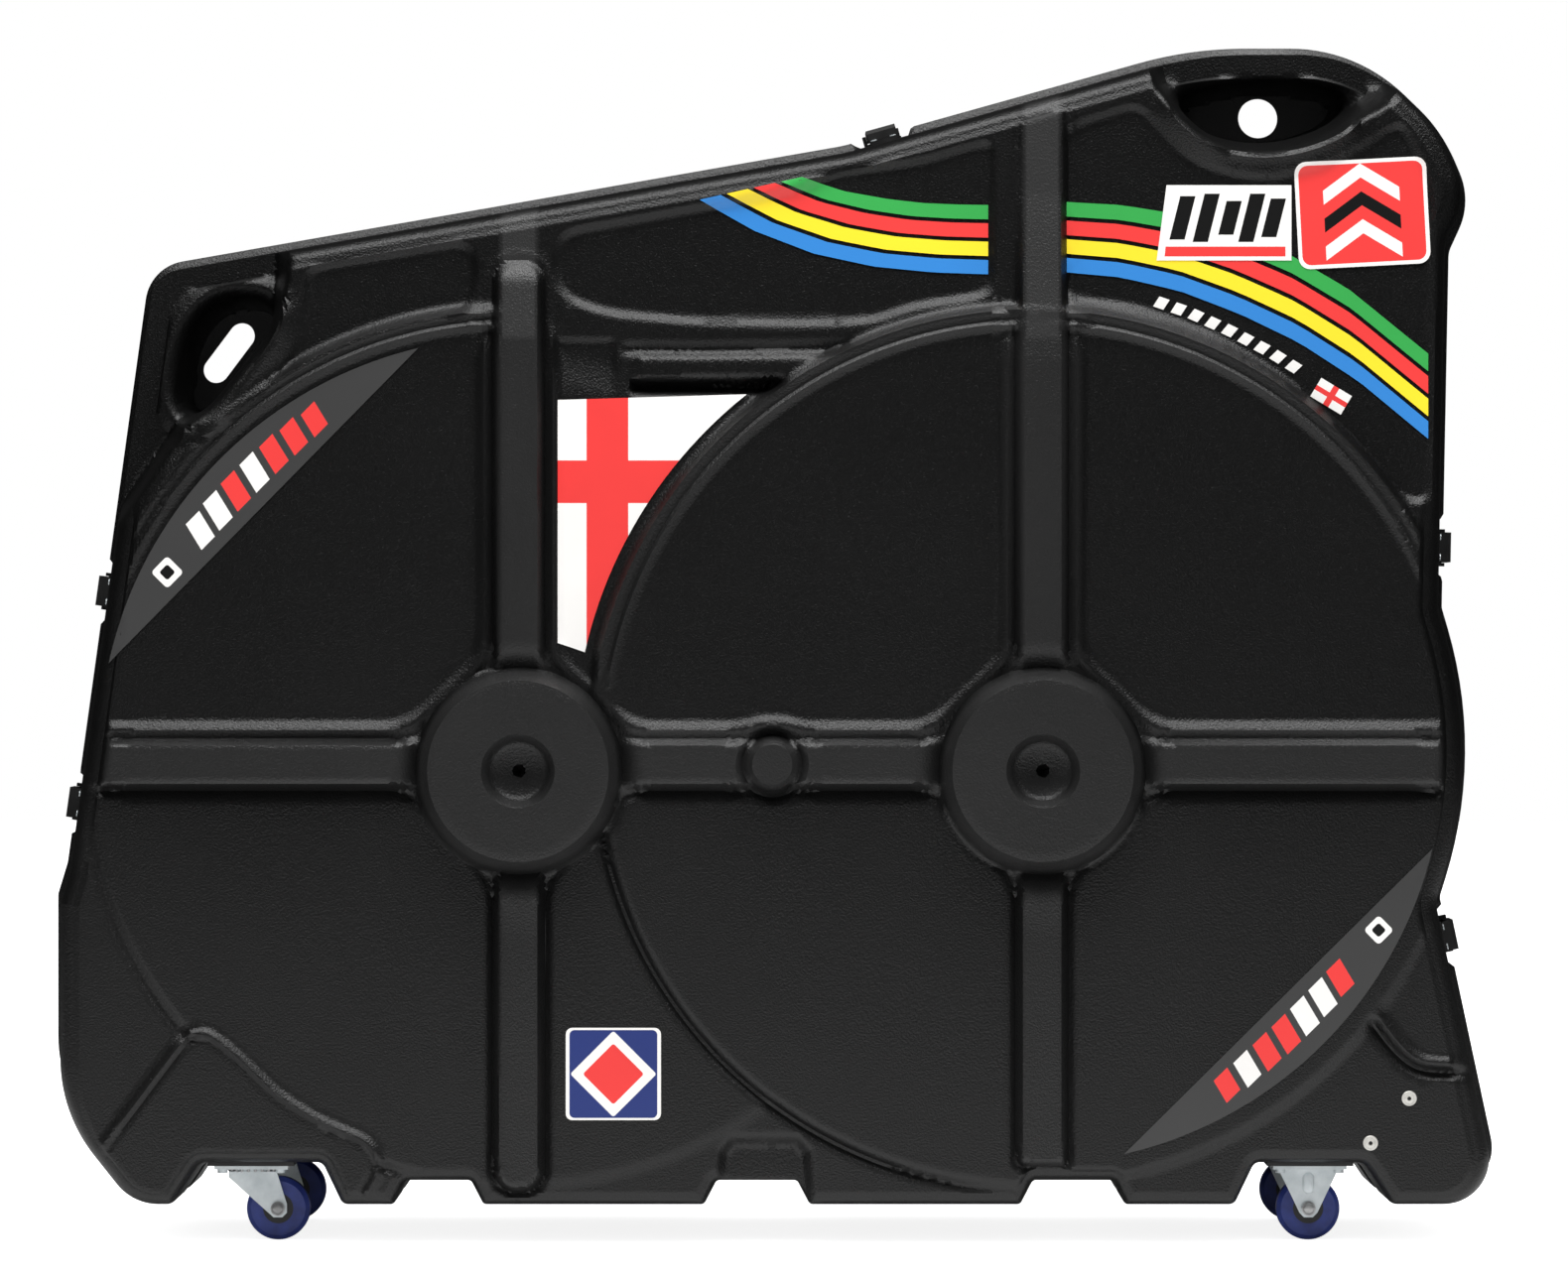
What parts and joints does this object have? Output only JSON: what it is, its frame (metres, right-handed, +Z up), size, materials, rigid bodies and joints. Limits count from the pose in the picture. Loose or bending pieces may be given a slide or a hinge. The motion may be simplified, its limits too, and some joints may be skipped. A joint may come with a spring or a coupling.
{
  "type": "bike travel case",
  "caption": "Hard-shell bike travel case: two formed halves hinged along the bottom, rim catches, hand holes, and casters for rolling it upright.",
  "frame": {"origin": "on the floor under the middle of the case, in the plane where the halves meet", "axes": "+X along the case towards its tall end, +Y from the lid half to the base half, +Z up"},
  "size_m": [1.1546, 0.37, 0.951],
  "materials": {
    "shell": "fine haircell grain, semi-matte black",
    "seal": "matte",
    "catch": "satin black",
    "zinc": "bright zinc plate",
    "tyre": "blue elastic rubber",
    "wheel_core": "black nylon",
    "pad": "black plastic",
    "foam": "dark grey closed-cell foam",
    "pole": "satin"
  },
  "bodies": {
    "base": {"anti_crush_pole": "pole", "caster_bolts_rear": "zinc", "caster_rear_left_pad": "pad", "caster_rear_left_plate": "zinc", "caster_rear_right_axle": "zinc", "caster_rear_right_fork": "zinc", "caster_rear_right_pad": "pad", "catch_left_lower_base": "catch", "catch_left_upper_base": "catch", "catch_pins": "zinc", "catch_right_lower_base": "catch", "catch_right_upper_base": "catch", "catch_rivets_rear": "zinc", "catch_top_base": "catch", "foam_pad_rear": "foam", "foot_rivets_rear": "zinc", "hinge_left_rear_leaf": "zinc", "hinge_middle_rear_leaf": "zinc", "hinge_pins": "zinc", "hinge_right_rear_leaf": "zinc", "hinge_rivets_rear": "zinc", "rear_shell": "shell", "rim_seal": "seal"},
    "lid": {"caster_bolts_front": "zinc", "caster_front_left_pad": "pad", "caster_front_left_plate": "zinc", "caster_front_right_axle": "zinc", "caster_front_right_fork": "zinc", "caster_front_right_pad": "pad", "catch_left_lower_keeper": "catch", "catch_left_upper_keeper": "catch", "catch_right_lower_keeper": "catch", "catch_right_upper_keeper": "catch", "catch_rivets_front": "zinc", "catch_top_keeper": "catch", "foam_pad_front": "foam", "foot_rivets_front": "zinc", "front_shell": "shell", "hinge_left_front_leaf": "zinc", "hinge_middle_front_leaf": "zinc", "hinge_right_front_leaf": "zinc", "hinge_rivets_front": "zinc"},
    "catch_top": {"catch_top_lever": "catch"},
    "catch_right_upper": {"catch_right_upper_lever": "catch"},
    "catch_right_lower": {"catch_right_lower_lever": "catch"},
    "catch_left_lower": {"catch_left_lower_lever": "catch"},
    "catch_left_upper": {"catch_left_upper_lever": "catch"},
    "swivel_front": {"caster_front_left_fork": "zinc", "caster_front_left_axle": "zinc"},
    "wheel_front_left": {"caster_front_left_tyre": "tyre", "caster_front_left_core": "wheel_core"},
    "wheel_front_right": {"caster_front_right_tyre": "tyre", "caster_front_right_core": "wheel_core"},
    "swivel_rear": {"caster_rear_left_fork": "zinc", "caster_rear_left_axle": "zinc"},
    "wheel_rear_left": {"caster_rear_left_tyre": "tyre", "caster_rear_left_core": "wheel_core"},
    "wheel_rear_right": {"caster_rear_right_tyre": "tyre", "caster_rear_right_core": "wheel_core"}
  },
  "joints": [
    {"name": "lid_hinge", "type": "hinge", "parent": "base", "child": "lid", "pos_m": [0, 0, 0.0465], "axis": [1, 0, 0], "range_deg": [0, 100]},
    {"name": "catch_top_lift", "type": "hinge", "parent": "base", "child": "catch_top", "pos_m": [0.08599, 0.028, 0.88134], "axis": [-0.9631, 0, -0.2692], "range_deg": [0, 100]},
    {"name": "catch_right_upper_lift", "type": "hinge", "parent": "base", "child": "catch_right_upper", "pos_m": [0.53779, 0.028, 0.5494], "axis": [0.0194, 0, 0.9998], "range_deg": [0, 100]},
    {"name": "catch_right_lower_lift", "type": "hinge", "parent": "base", "child": "catch_right_lower", "pos_m": [0.54182, 0.028, 0.23697], "axis": [-0.2083, 0, 0.9781], "range_deg": [0, 100]},
    {"name": "catch_left_lower_lift", "type": "hinge", "parent": "base", "child": "catch_left_lower", "pos_m": [-0.56295, 0.028, 0.34378], "axis": [-0.1373, 0, -0.9905], "range_deg": [0, 100]},
    {"name": "catch_left_upper_lift", "type": "hinge", "parent": "base", "child": "catch_left_upper", "pos_m": [-0.53937, 0.028, 0.5139], "axis": [-0.1373, 0, -0.9905], "range_deg": [0, 100]},
    {"name": "swivel_front_turn", "type": "hinge", "parent": "lid", "child": "swivel_front", "pos_m": [-0.41305, -0.105, 0], "axis": [0, 0, 1], "continuous": true},
    {"name": "wheel_front_left_roll", "type": "hinge", "parent": "swivel_front", "child": "wheel_front_left", "pos_m": [-0.39305, -0.105, 0.025], "axis": [0, 1, 0], "continuous": true},
    {"name": "wheel_front_right_roll", "type": "hinge", "parent": "lid", "child": "wheel_front_right", "pos_m": [0.42196, -0.105, 0.025], "axis": [0, 1, 0], "continuous": true},
    {"name": "swivel_rear_turn", "type": "hinge", "parent": "base", "child": "swivel_rear", "pos_m": [-0.41305, 0.105, 0], "axis": [0, 0, 1], "continuous": true},
    {"name": "wheel_rear_left_roll", "type": "hinge", "parent": "swivel_rear", "child": "wheel_rear_left", "pos_m": [-0.39305, 0.105, 0.025], "axis": [0, 1, 0], "continuous": true},
    {"name": "wheel_rear_right_roll", "type": "hinge", "parent": "base", "child": "wheel_rear_right", "pos_m": [0.42196, 0.105, 0.025], "axis": [0, 1, 0], "continuous": true}
  ]
}
